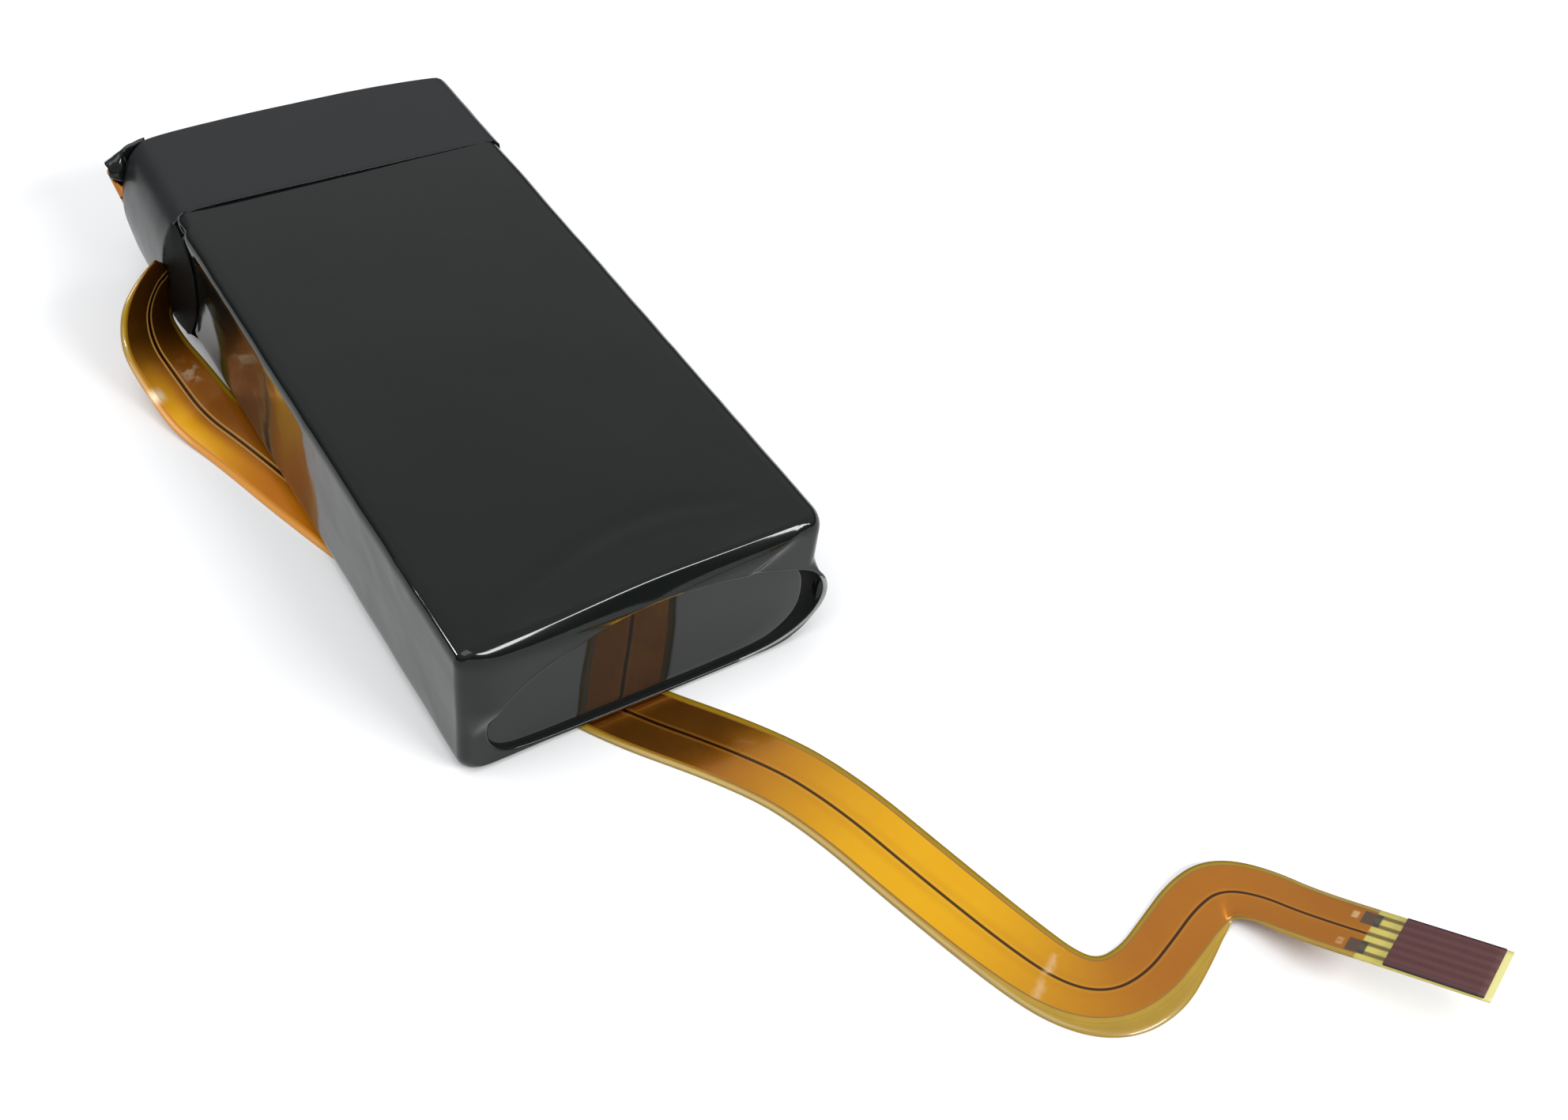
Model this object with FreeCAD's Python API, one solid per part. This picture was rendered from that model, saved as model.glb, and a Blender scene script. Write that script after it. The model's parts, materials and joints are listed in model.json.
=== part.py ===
import FreeCAD, Part
import math
import os

# A flat lithium-polymer battery pack of two pouch cells in a black shrink sleeve. A tape band wraps the
# protection board's end, and a flat flexible lead leaves it. Millimetres. +Z is up, +Y points from the
# lead's end of the pack to the board's end, +X to the right. The origin is under the pack's middle.

V = FreeCAD.Vector

# Pack envelope
WIDTH = 34.0            # sleeve, side to side
FRONT = -37.9           # front of the sleeve
BAND_FRONT = 24.2       # where the tape band starts
REAR = 37.9             # rear edge of the tape band
TOP = 15.0              # top of the sleeve
FOOT = 0.2              # underside of the sleeve: the band's two turns lift it off the surface
FILM = 0.15             # shrink film
EDGE = 1.4              # radius of the sleeve's edges
LIP_INSET = 0.35        # how far the sleeve's rear lip steps in under the band
LIP_LENGTH = 2.6        # length of that lip
LIP_EDGE = 2.4          # radius of the lip's edges
TAPE = 0.2              # band, two turns of 0.1 mm tape
SWELL = 0.5             # how much further the band's left side swells at its front edge
GAP = 0.05              # clearance between pieces that lie against each other

# Oval mouth of the sleeve at the front, and the plate behind it
MOUTH = (-14.8, 15.4, 0.9, 12.6)    # left, right, bottom, top
MOUTH_CORNER = 5.0
PLATE = 0.6

# Cells
CELL_THICK = 6.9
CELL_WIDTH = 33.2
CELL_FRONT = -36.8
CELL_REAR = 21.6
CELL_EDGE = 1.0
CELL_BASE = FOOT + FILM + 0.1
BOND = 0.3              # bonding pad between the cells
POUCH = 0.15
TERRACE = 3.4           # sealed edge that the tabs come through
TERRACE_THICK = 0.6
SHEET = 0.38            # electrode sheet
SEPARATOR = 0.1
PAIRS = 6               # cathode sheets in a cell; there is one anode sheet more
TAB_X = 8.0             # tabs stand this far each side of the middle
TAB = (5.0, 0.2)        # width, thickness
TAB_END = 30.5
SEALANT = (7.0, 0.4)    # width, thickness of the film that seals a tab in the terrace

# Protection board, standing across the rear
BOARD = (28.0, 0.8, 11.6)           # width, thickness, height
BOARD_FRONT = 34.9
BOARD_BASE = 1.7
BOARD_REAR = BOARD_FRONT + BOARD[1]

# Flat flexible lead. Its route is a list of (x, y, z, tilt, width): tilt is the angle of the flat side
# from level in degrees, so 90 is on edge, and it opens outwards from the pack's left side.
LEAD_THICK = 0.16
LEAD_Z = 0.1            # middle of the lead where it lies on the surface
SIDE_LOOP = [
    (-18.3, 24.4, 10.0, 114, 7.3),
    (-21.0, 22.6, 8.3, 97, 7.3),
    (-21.9, 20.4, 4.4, 20, 7.3),
    (-21.0, 16.2, 2.5, 13, 7.3),
    (-20.0, 12.4, 0.5, 6, 7.3),
    (-17.95, 7.2, LEAD_Z, 0, 7.3),
    (-15.2, -2.6, LEAD_Z, 0, 7.3),
]
UNDER_RUN = [
    (-11.0, -15.2, LEAD_Z, 0, 7.3),
    (-6.7, -27.2, LEAD_Z, 0, 7.3),
    (-3.2, -36.4, LEAD_Z, 0, 7.3),
]
FRONT_RUN = [
    (5.6, -47.8, LEAD_Z, 0, 7.3),
    (8.6, -54.7, LEAD_Z, 0, 7.3),
    (10.9, -64.4, LEAD_Z, 0, 7.3),
    (13.3, -73.4, LEAD_Z, 0, 7.2),
]
CONNECTOR_TAIL = [
    (14.8, -78.0, LEAD_Z, 0, 7.0),
    (17.3, -80.2, LEAD_Z, 0, 6.9),
    (20.9, -80.2, LEAD_Z, 0, 6.7),
    (24.9, -78.6, 0.1, 0, 6.4),
    (28.7, -76.9, 0.2, 0, 6.2),
    (31.5, -76.7, 0.5, 0, 6.1),
    (33.3, -79.0, 1.5, 0, 5.9),
    (34.4, -82.6, 2.8, 0, 5.6),
    (36.8, -89.1, 5.8, 0, 5.4),
    (39.3, -95.6, 8.6, 0, 5.4),
]
STIFFENER = (7.6, 5.2, 0.2)         # length, width, thickness of the stiffener at the lead's end
FINGERS = 5
FINGER = (4.0, 0.5, 0.03)           # length, width, thickness of a contact finger
FINGER_PITCH = 1.0

# The lead's held end: soldered to the board, round the rear left corner and forward under the band
HELD_Z = 8.6
HELD_RUN = [
    (-4.6, 35.84, HELD_Z, 90, 7.3),
    (-14.4, 35.86, HELD_Z, 90, 7.3),
    (-16.5, 38.2, HELD_Z, 90, 7.3),
    (-18.8, 38.45, HELD_Z, 90, 7.3),
    (-17.45, 37.85, HELD_Z, 90, 7.3),
    (-17.45, 31.5, HELD_Z, 90, 7.3),
    (-17.55, 26.2, 9.1, 84, 7.3),
    (-17.85, 24.7, 10.2, 97, 7.3),
]


def box(x, y, z):
    """A block from three (low, high) pairs."""
    return Part.makeBox(x[1] - x[0], y[1] - y[0], z[1] - z[0], V(x[0], y[0], z[0]))


def centred(x, width):
    return (x - width / 2, x + width / 2)


def rounded_block(x, y, z, radius, ends):
    """A block with its long edges rounded, and its two end faces' edges too where ends is true."""
    block = box(x, y, z)
    along = [e for e in block.Edges if ends or abs(e.tangentAt(0).y) > 0.9]
    return block.makeFillet(radius, along)


def rounded_oval(x, z, radius, y):
    """A prism along Y with a rounded rectangle for its outline."""
    prism = box(x, y, z)
    return prism.makeFillet(radius, [e for e in prism.Edges if abs(e.tangentAt(0).y) > 0.9])


def save(name, *solids):
    """Write one node: one solid, or a group of separate ones."""
    shape = solids[0] if len(solids) == 1 else Part.makeCompound(list(solids))
    for solid in shape.Solids:
        assert solid.isValid() and solid.Volume > 0, name
    assert len(shape.Solids) >= len(solids), name
    shape.exportStep(f"parts/{name}.step")


def between(route, place):
    """Tilt and width at a place counted in route points, so 2.5 is halfway from the third to the fourth."""
    k = min(int(place), len(route) - 2)
    share = place - k
    return [route[k][n] + (route[k + 1][n] - route[k][n]) * share for n in (3, 4)]


def stations(route, step_deg=10.0):
    """The route as straight runs joined by tangent arcs: (point, direction, tilt, width) along it, and radii."""
    points = [V(*p[:3]) for p in route]
    lengths = [(b - a).Length for a, b in zip(points, points[1:])]
    heads = [(b - a).normalize() for a, b in zip(points, points[1:])]
    out = [(points[0], heads[0], *between(route, 0))]
    radii = []
    for i in range(1, len(points) - 1):
        turn = heads[i - 1].getAngle(heads[i])
        cut = 0.45 * min(lengths[i - 1], lengths[i])
        radius = cut / math.tan(turn / 2)
        radii.append(radius)
        inward = heads[i] - heads[i - 1] * heads[i].dot(heads[i - 1])
        inward.normalize()
        first, last = i - cut / lengths[i - 1], i + cut / lengths[i]
        twist = abs(between(route, last)[0] - between(route, first)[0])
        count = max(2, math.ceil(max(math.degrees(turn), twist) / step_deg))
        for k in range(count + 1):
            a = turn * k / count
            forward = heads[i - 1] * (radius * math.sin(a) - cut)
            place = points[i] + forward + inward * (radius * (1 - math.cos(a)))
            head = heads[i - 1] * math.cos(a) + inward * math.sin(a)
            out.append((place, head, *between(route, first + (last - first) * k / count)))
    out.append((points[-1], heads[-1], *between(route, len(route) - 1)))
    return out, radii


def across(head, tilt):
    """The direction across the lead, towards its outer edge, for a lead that heads this way."""
    level = V(head.y, -head.x, 0)
    level.normalize()
    upward = level.cross(head)
    upward = upward if upward.z > 0 else upward * -1
    a = math.radians(tilt)
    return level * math.cos(a) + upward * math.sin(a)


def triangle(a, b, c):
    return Part.Face(Part.makePolygon([a, b, c, a]))


def strip(frames, thick, lift=0.0):
    """A flat strip through the frames, thick through, its middle lifted off theirs along its flat side.

    Both flat sides are split along the same diagonals, so a twisted length keeps its thickness."""
    corners = []
    for place, head, tilt, width in frames:
        side = across(head, tilt)
        normal = side.cross(head)
        middle = place + normal * lift
        corners.append([
            middle + side * (width / 2) + normal * (thick / 2),
            middle + side * (width / 2) - normal * (thick / 2),
            middle - side * (width / 2) - normal * (thick / 2),
            middle - side * (width / 2) + normal * (thick / 2),
        ])
    faces = []
    for near, far in zip(corners, corners[1:]):
        for k, n in ((0, 1), (2, 1), (2, 3), (3, 0)):
            faces.append(triangle(near[k], near[n], far[n]))
            faces.append(triangle(near[k], far[n], far[k]))
    for end in (corners[0], corners[-1]):
        faces.append(triangle(end[0], end[1], end[2]))
        faces.append(triangle(end[0], end[2], end[3]))
    shell = Part.makeShell(faces)
    shell.sewShape()
    solid = Part.makeSolid(shell)
    if solid.Volume < 0:
        solid.reverse()
    return solid.removeSplitter()


def make_sleeve():
    """The shrink film: a closed-sided tube with a folded oval mouth in front and a stepped lip behind."""
    half = WIDTH / 2
    inset = LIP_INSET
    lip_end = BAND_FRONT + LIP_LENGTH
    body = rounded_block((-half, half), (FRONT, BAND_FRONT), (FOOT, TOP), EDGE, False)
    front_edges = [e for e in body.Edges if abs(e.CenterOfMass.y - FRONT) < 1e-6]
    body = body.makeFillet(EDGE * 0.8, front_edges)
    lip_x = (-half + inset, half - inset)
    lip_z = (FOOT + inset, TOP - inset)
    lip = rounded_block(lip_x, (BAND_FRONT - 1, lip_end), lip_z, LIP_EDGE, False)
    in_x = (-half + FILM, half - FILM)
    in_z = (FOOT + FILM, TOP - FILM)
    hollow = rounded_block(in_x, (FRONT + FILM, BAND_FRONT - FILM), in_z, EDGE - FILM, False)
    front_edges = [e for e in hollow.Edges if abs(e.CenterOfMass.y - FRONT - FILM) < 1e-6]
    hollow = hollow.makeFillet(EDGE * 0.8 - FILM, front_edges)
    lip_in_x = (lip_x[0] + FILM, lip_x[1] - FILM)
    lip_in_z = (lip_z[0] + FILM, lip_z[1] - FILM)
    lip_hollow = rounded_block(lip_in_x, (BAND_FRONT - 2, lip_end + 1), lip_in_z, LIP_EDGE - FILM, False)
    left, right, bottom, top = MOUTH
    mouth = rounded_oval((left, right), (bottom, top), MOUTH_CORNER, (FRONT - 1, FRONT + 1))
    ear = Part.Face(Part.makePolygon([
        V(half - 0.1, FRONT + 1.6, 1.8),
        V(half + 1.5, FRONT + 1.6, 4.6),
        V(half - 0.1, FRONT + 1.6, 8.4),
        V(half - 0.1, FRONT + 1.6, 1.8),
    ])).extrude(V(0, 0.3, 0))
    return body.fuse(lip).fuse(ear).cut(hollow).cut(lip_hollow).cut(mouth)


def make_front_plate():
    """The stiff sheet that closes the pack's front and shows in the sleeve's mouth."""
    y = (FRONT + FILM + 0.02, FRONT + FILM + 0.02 + PLATE)
    return rounded_oval((-16.0, 16.0), (0.75, 14.3), 1.0, y)


def band_outline(y, inset, swell):
    """The band's outline at y: flat right side, left side swollen over the lead."""
    right = WIDTH / 2 + TAPE - inset
    top = TOP + 0.15 - inset
    low = inset
    corner = 1.5 - inset
    cut = corner * 0.293
    slant = inset * 0.7
    edges = [
        Part.LineSegment(V(-13.4, y, top), V(right - corner, y, top)),
        Part.Arc(V(right - corner, y, top), V(right - cut, y, top - cut), V(right, y, top - corner)),
        Part.LineSegment(V(right, y, top - corner), V(right, y, low + corner)),
        Part.Arc(V(right, y, low + corner), V(right - cut, y, low + cut), V(right - corner, y, low)),
        Part.LineSegment(V(right - corner, y, low), V(-15.6, y, low)),
        Part.Arc(V(-15.6, y, low), V(-16.87 + slant, y, 0.53 + slant), V(-17.4 + inset, y, 1.8)),
        Part.Arc(V(-17.4 + inset, y, 1.8), V(-18.25 - swell + inset, y, 5.9),
                 V(-18.35 - swell / 2 + inset, y, 10.4)),
        Part.Arc(V(-18.35 - swell / 2 + inset, y, 10.4), V(-17.25 + slant, y, 13.65 - slant),
                 V(-13.4, y, top)),
    ]
    return Part.Wire([edge.toShape() for edge in edges])


def make_band():
    """The tape wound round the board's end, open to the rear, slit where the lead comes out."""
    y = (BAND_FRONT + GAP, REAR)
    outer = Part.makeLoft([band_outline(y[0], 0.0, SWELL), band_outline(y[1], 0.0, 0.0)], True, True)
    inner = Part.makeLoft([band_outline(y[0], TAPE, SWELL), band_outline(y[1], TAPE, 0.0)], True, True)
    slit = box((-20, -16.95), (y[0] - 1, y[0] + 2.6), (4.8, 13.9))
    return outer.cut(inner).cut(slit)


def make_tongue():
    """The tongue of tape on the left side that steers the lead out of the band."""
    x = -WIDTH / 2 - 0.25
    outline = [(25.4, 9.0), (24.2, 11.0), (23.6, 12.5), (21.2, 12.6), (20.4, 10.4), (21.3, 6.2),
               (23.7, 1.7), (25.4, 2.4)]
    points = [V(x, y, z) for y, z in outline + outline[:1]]
    return Part.Face(Part.makePolygon(points)).extrude(V(0.15, 0, 0))


def make_rear_film():
    """The film tucked over the open rear end."""
    return rounded_oval((-15.5, 16.4), (0.9, 14.2), 1.2, (REAR - 0.4, REAR - 0.2))


def make_corner_flap():
    """The film's free corner, which sticks out over the lead's bend at the rear left."""
    near_edge = (V(-14.9, REAR + 0.02, 14.6), V(-15.9, REAR + 0.02, 12.6))
    far_edge = (V(-18.9, REAR + 0.66, 12.9), V(-18.0, REAR + 0.68, 12.5))
    thick = V(0, 0.12, 0)
    low = [near_edge[0], near_edge[1], far_edge[1], far_edge[0]]
    high = [p + thick for p in low]
    faces = [triangle(low[0], low[1], low[2]), triangle(low[0], low[2], low[3])]
    faces += [triangle(high[0], high[1], high[2]), triangle(high[0], high[2], high[3])]
    for k in range(4):
        n = (k + 1) % 4
        faces += [triangle(low[k], low[n], high[n]), triangle(low[k], high[n], high[k])]
    shell = Part.makeShell(faces)
    shell.sewShape()
    solid = Part.makeSolid(shell)
    if solid.Volume < 0:
        solid.reverse()
    return solid


def make_tab(x, middle):
    return box(centred(x, TAB[0]), (CELL_REAR - 0.6, TAB_END), centred(middle, TAB[1]))


def make_sealant(x, middle):
    y = (CELL_REAR + 0.5, CELL_REAR + TERRACE + 0.9)
    return box(centred(x, SEALANT[0]), y, centred(middle, SEALANT[1])).cut(make_tab(x, middle))


def make_pouch(base):
    """A cell's foil pouch: a rounded hollow block with the sealed terrace that its tabs come through."""
    middle = base + CELL_THICK / 2
    wide = centred(0, CELL_WIDTH)
    high = (base, base + CELL_THICK)
    body = rounded_block(wide, (CELL_FRONT, CELL_REAR), high, CELL_EDGE, True)
    terrace_y = (CELL_REAR - 0.1, CELL_REAR + TERRACE)
    terrace = box(centred(0, CELL_WIDTH - 0.8), terrace_y, centred(middle, TERRACE_THICK))
    hollow = rounded_block(
        centred(0, CELL_WIDTH - 2 * POUCH),
        (CELL_FRONT + POUCH, CELL_REAR - POUCH),
        (high[0] + POUCH, high[1] - POUCH),
        CELL_EDGE - POUCH,
        True,
    )
    pouch = body.fuse(terrace).cut(hollow)
    for x in (-TAB_X, TAB_X):
        y = (CELL_REAR + 0.5, CELL_REAR + TERRACE + 0.9)
        pouch = pouch.cut(box(centred(x, SEALANT[0]), y, centred(middle, SEALANT[1])))
        pouch = pouch.cut(make_tab(x, middle))
    return pouch


def electrode_stack(base):
    """The sheets inside a pouch: anodes outermost, a separator between every two electrodes."""
    x = centred(0, CELL_WIDTH - 1.6)
    sep_x = centred(0, CELL_WIDTH - 1.0)
    y = (CELL_FRONT + 0.7, CELL_REAR - 1.2)
    sep_y = (CELL_FRONT + 0.4, CELL_REAR - 0.9)
    height = (2 * PAIRS + 1) * SHEET + 2 * PAIRS * SEPARATOR
    z = base + (CELL_THICK - height) / 2
    anodes, cathodes, separators = [], [], []
    for k in range(2 * PAIRS + 1):
        (cathodes if k % 2 else anodes).append(box(x, y, (z, z + SHEET)))
        z += SHEET
        if k < 2 * PAIRS:
            separators.append(box(sep_x, sep_y, (z, z + SEPARATOR)))
            z += SEPARATOR
    return anodes, cathodes, separators


def make_cell(name, base, positive_x):
    """One pouch cell as its separate pieces."""
    middle = base + CELL_THICK / 2
    anodes, cathodes, separators = electrode_stack(base)
    save(f"{name}_cell_pouch", make_pouch(base))
    save(f"{name}_cell_anode_sheets", *anodes)
    save(f"{name}_cell_cathode_sheets", *cathodes)
    save(f"{name}_cell_separators", *separators)
    save(f"{name}_cell_positive_tab", make_tab(positive_x, middle))
    save(f"{name}_cell_negative_tab", make_tab(-positive_x, middle))
    save(f"{name}_cell_tab_sealants", make_sealant(-TAB_X, middle), make_sealant(TAB_X, middle))


def make_links(low, high):
    """Nickel strips: the series link behind the right tabs, and the strips to the board."""
    tab_wide = centred(TAB_X, TAB[0])
    link = box(tab_wide, (TAB_END, TAB_END + 0.2), (low - 0.4, high + 0.4))
    tap = box(centred(TAB_X, 2.0), (TAB_END + 0.2, BOARD_FRONT), centred((low + high) / 2, 0.2))
    wide = centred(-TAB_X, 4.0)
    fuse = rounded_block(centred(-TAB_X, 3.6), (31.7, 33.9), centred(low, 1.0), 0.2, False)
    first = box(wide, (TAB_END, 31.7), centred(low, TAB[1]))
    second = box(wide, (33.9, BOARD_FRONT), centred(low, TAB[1]))
    negative = box(wide, (TAB_END, BOARD_FRONT), centred(high, TAB[1]))
    save("series_link_strip", link)
    save("balance_tap_strip", tap)
    save("thermal_fuse", fuse)
    save("positive_lead_strips", first, second)
    save("negative_lead_strip", negative)


def make_chip(x, z, wide, tall, deep):
    """A chip on the board's rear face."""
    return box(centred(x, wide), (BOARD_REAR, BOARD_REAR + deep), centred(z, tall))


def make_board():
    """The protection board with the parts on it."""
    z = (BOARD_BASE, BOARD_BASE + BOARD[2])
    save("protection_board", box(centred(0, BOARD[0]), (BOARD_FRONT, BOARD_REAR), z))
    save("power_transistors", make_chip(2.6, 10.2, 4.4, 3.0, 1.0), make_chip(8.0, 10.2, 4.4, 3.0, 1.0))
    save("protection_chip", make_chip(4.2, 5.4, 2.9, 1.6, 1.0))
    save("chip_resistors", *[make_chip(x, 4.0 + 2.0 * k, 1.0, 0.5, 0.35)
                             for k, x in enumerate((8.0, 8.0, 10.4))])
    save("chip_capacitors", *[make_chip(x, 3.4, 1.6, 0.8, 0.8) for x in (0.2, 12.4)])
    save("thermistor", make_chip(12.2, 8.6, 1.0, 1.6, 0.8))
    solder_z = (HELD_Z - 2.2, HELD_Z + 2.2)
    save("lead_solder_joints", *[box((-4.55, -3.5), (BOARD_REAR, BOARD_REAR + 0.3), centred(z, 1.2))
                                 for z in solder_z])


def make_board_wrap():
    """The insulating paper folded round the tabs and the board, under the band."""
    x, z, y = (-16.3, 16.3), (0.7, 14.4), (27.0, 36.2)
    outer = rounded_block(x, y, z, 2.0, False)
    inner = rounded_block((x[0] + 0.2, x[1] - 0.2), (y[0] - 1, y[1] + 1), (z[0] + 0.2, z[1] - 0.2), 1.8, False)
    return outer.cut(inner)


def last_frames(frames, from_end, length, offset, width):
    """The frames of a plate on the lead: this far from its end, this long, this far across, this wide."""
    out = []
    run = 0.0
    for near, far in zip(frames[::-1], frames[-2::-1]):
        step = (near[0] - far[0]).Length
        for mark in (from_end, from_end + length):
            if run <= mark < run + step:
                out.append((near[0] + (far[0] - near[0]) * ((mark - run) / step), near[1], near[2]))
        run += step
        if from_end < run < from_end + length:
            out.append((far[0], far[1], far[2]))
    return [(p + across(head, tilt) * offset, head, tilt, width) for p, head, tilt in out[::-1]]


def make_lead():
    """The lead's free length, in nodes that meet face to face, and the pieces at its end."""
    route = SIDE_LOOP + UNDER_RUN + FRONT_RUN + CONNECTOR_TAIL
    frames, radii = stations(route)
    print("lead arc radii, mm:", [round(r, 1) for r in radii])
    length = sum((b[0] - a[0]).Length for a, b in zip(frames, frames[1:]))
    print("lead length, mm:", round(length, 1))
    cuts = {"lead_side_loop": -1.0, "lead_under_run": FRONT, "lead_front_run": -74.5, "lead_tail": -200.0}
    start = 0
    for name, limit in cuts.items():
        end = start + 1
        while end < len(frames) - 1 and frames[end][0].y > limit:
            end += 1
        piece = frames[start:end + 1]
        swept = sum((b[0] - a[0]).Length * LEAD_THICK * (a[3] + b[3]) / 2 for a, b in zip(piece, piece[1:]))
        solid = strip(piece, LEAD_THICK)
        print(name, "volume", round(solid.Volume, 2), "section x length", round(swept, 2))
        save(name, solid)
        start = end
    half = LEAD_THICK / 2
    stiff = last_frames(frames, 0.5, STIFFENER[0], 0.0, STIFFENER[1])
    save("tail_stiffener", strip(stiff, STIFFENER[2], half + STIFFENER[2] / 2))
    middle = (FINGERS - 1) / 2
    save("contact_fingers", *[
        strip(last_frames(frames, 0.3, FINGER[0], (k - middle) * FINGER_PITCH, FINGER[1]),
              FINGER[2], -half - FINGER[2] / 2)
        for k in range(FINGERS)
    ])


def make_held_lead():
    """The lead's held length, from the board round the corner to the band's front edge."""
    first = SIDE_LOOP[0]
    frames, _ = stations(HELD_RUN + [first])
    return strip(frames, LEAD_THICK)


def main():
    os.makedirs("parts", exist_ok=True)
    save("heat_shrink_sleeve", make_sleeve())
    save("front_end_plate", make_front_plate())
    save("rear_tape_band", make_band())
    save("side_tape_tongue", make_tongue())
    save("rear_end_film", make_rear_film())
    save("rear_corner_flap", make_corner_flap())
    upper_base = CELL_BASE + CELL_THICK + BOND
    make_cell("lower", CELL_BASE, -TAB_X)
    make_cell("upper", upper_base, TAB_X)
    pad_z = (CELL_BASE + CELL_THICK, upper_base)
    save("cell_bonding_pad", box(centred(0, 26.0), (CELL_FRONT + 4, CELL_REAR - 4), pad_z))
    make_links(CELL_BASE + CELL_THICK / 2, upper_base + CELL_THICK / 2)
    make_board()
    save("board_wrap", make_board_wrap())
    save("lead_held_run", make_held_lead())
    make_lead()


main()
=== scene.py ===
import json
import math
from collections import namedtuple

import bpy
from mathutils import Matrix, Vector, noise


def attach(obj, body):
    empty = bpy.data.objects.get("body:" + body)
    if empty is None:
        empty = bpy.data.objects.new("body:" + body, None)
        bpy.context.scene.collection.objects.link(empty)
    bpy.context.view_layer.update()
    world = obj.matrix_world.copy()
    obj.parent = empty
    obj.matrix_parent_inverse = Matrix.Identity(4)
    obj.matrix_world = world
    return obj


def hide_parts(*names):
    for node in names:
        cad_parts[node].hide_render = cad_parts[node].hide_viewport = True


# A flat battery pack in black film with a flat flexible lead. Shapes and the camera's place are in
# millimetres, and MM turns them into metres where they reach Blender. Materials, lights and the floor are
# in metres. +Z is up, and +Y runs from the pack's open front to its taped rear.

MM = 0.001
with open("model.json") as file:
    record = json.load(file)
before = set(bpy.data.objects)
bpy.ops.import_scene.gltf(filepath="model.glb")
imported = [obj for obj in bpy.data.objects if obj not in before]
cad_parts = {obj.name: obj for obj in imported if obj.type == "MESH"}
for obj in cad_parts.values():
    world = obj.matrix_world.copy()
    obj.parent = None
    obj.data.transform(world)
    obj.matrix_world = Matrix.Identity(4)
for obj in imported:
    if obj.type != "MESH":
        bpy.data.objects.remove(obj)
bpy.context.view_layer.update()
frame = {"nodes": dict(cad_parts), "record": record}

FRONT = -37.9
REAR = 37.9
BAND_FRONT = 24.2
RING = 240  # points in each ring of the sleeve and of the band

# ---------------------------------------------------------------- camera

CAMERA_PLACE = (-50.2, -115.3, 113.3)
CAMERA_TURN = (44.16, -6.2, -32.78)  # degrees about x, y and z

cam_data = bpy.data.cameras.new("camera")
cam_data.sensor_width = 36.0
cam_data.lens = 38.98
cam_data.clip_start = 0.005
cam_data.clip_end = 20.0
cam = bpy.data.objects.new("camera", cam_data)
cam.location = tuple(c * MM for c in CAMERA_PLACE)
cam.rotation_euler = tuple(math.radians(a) for a in CAMERA_TURN)
bpy.context.scene.collection.objects.link(cam)
bpy.context.scene.camera = cam

# ---------------------------------------------------------------- small tools


def mesh(name, points, faces, material, uv=None):
    """A smooth mesh object from points in millimetres."""
    data = bpy.data.meshes.new(name)
    data.from_pydata([tuple(c * MM for c in p) for p in points], [], faces)
    data.update()
    if uv:
        layer = data.uv_layers.new(name="pattern")
        for loop in data.loops:
            layer.data[loop.index].uv = uv[loop.vertex_index]
    for polygon in data.polygons:
        polygon.use_smooth = True
    data.materials.append(material)
    obj = bpy.data.objects.new(name, data)
    bpy.context.scene.collection.objects.link(obj)
    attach(obj, "root")
    return obj


def loft(rings, cap_first=False, cap_last=False):
    """Points and faces of a surface through closed rings of equal length."""
    n = len(rings[0])
    points = [p for ring in rings for p in ring]
    faces = []
    for j in range(len(rings) - 1):
        for k in range(n):
            m = (k + 1) % n
            faces.append((j * n + k, j * n + m, (j + 1) * n + m, (j + 1) * n + k))
    if cap_first:
        faces.append(tuple(range(n))[::-1])
    if cap_last:
        faces.append(tuple((len(rings) - 1) * n + k for k in range(n)))
    return points, faces


def through(points, steps, closed=False):
    """A smooth line through the points (Catmull-Rom), with this many steps between two of them."""
    n = len(points)
    out = []
    for i in range(n if closed else n - 1):
        near = [(i + k) % n if closed else min(max(i + k, 0), n - 1) for k in (-1, 0, 1, 2)]
        p = [points[k] for k in near]
        for s in range(steps):
            t = s / steps
            out.append(tuple(
                0.5 * (2 * b + (c - a) * t + (2 * a - 5 * b + 4 * c - d) * t * t
                       + (3 * b - a - 3 * c + d) * t ** 3)
                for a, b, c, d in zip(*p)))
    if not closed:
        out.append(tuple(points[-1]))
    return out


def even(points, count):
    """Closed line resampled to this many points at even spacing."""
    loop = points + [points[0]]
    marks = [0.0]
    for a, b in zip(loop, loop[1:]):
        marks.append(marks[-1] + math.dist(a, b))
    out, k = [], 0
    for i in range(count):
        want = marks[-1] * i / count
        while marks[k + 1] < want:
            k += 1
        t = (want - marks[k]) / max(marks[k + 1] - marks[k], 1e-9)
        out.append(between(loop[k], loop[k + 1], t))
    return out


def between(a, b, share):
    """The point this share of the way from a to b."""
    return tuple(p + (q - p) * share for p, q in zip(a, b))


def clamp01(t):
    return min(max(t, 0.0), 1.0)


def ease(t):
    """0 below 0, 1 above 1, smooth between."""
    t = clamp01(t)
    return t * t * (3 - 2 * t)


def wobble(x, y, z, scale, seed=0.0):
    """Smooth noise round zero with lumps about as wide as the scale."""
    return noise.noise(Vector((x / scale + seed, y / scale, z / scale)))


# ---------------------------------------------------------------- materials


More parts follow.
